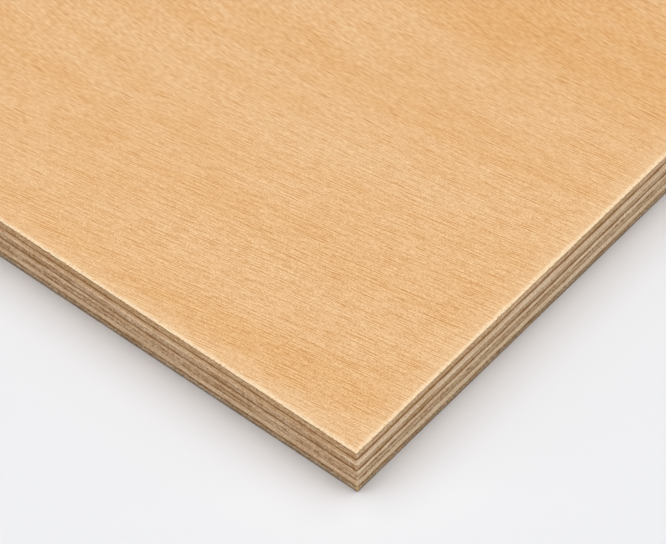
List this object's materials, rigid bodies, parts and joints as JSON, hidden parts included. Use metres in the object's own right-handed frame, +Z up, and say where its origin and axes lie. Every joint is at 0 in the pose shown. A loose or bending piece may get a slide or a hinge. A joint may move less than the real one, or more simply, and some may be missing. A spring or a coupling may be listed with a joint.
{
  "type": "plywood sheet",
  "caption": "Full sheet of plywood in long-grain and cross-grain veneers, with a smooth tan face, sawn edges that show every ply, and eased arrises.",
  "frame": {"origin": "middle of the sheet's underside", "axes": "+X along the sheet's length and its face grain, +Y across the sheet, +Z up through its thickness, out of the face"},
  "size_m": [2.44, 1.22, 0.018],
  "materials": {
    "face_wood": "sanded",
    "crossband_wood": "sawn",
    "inner_wood": "sawn",
    "back_wood": "sanded"
  },
  "bodies": {
    "root": {"face_veneer": "face_wood", "upper_crossband": "crossband_wood", "upper_inner_ply": "inner_wood", "centre_ply": "crossband_wood", "lower_inner_ply": "inner_wood", "lower_crossband": "crossband_wood", "back_veneer": "back_wood"}
  },
  "joints": []
}
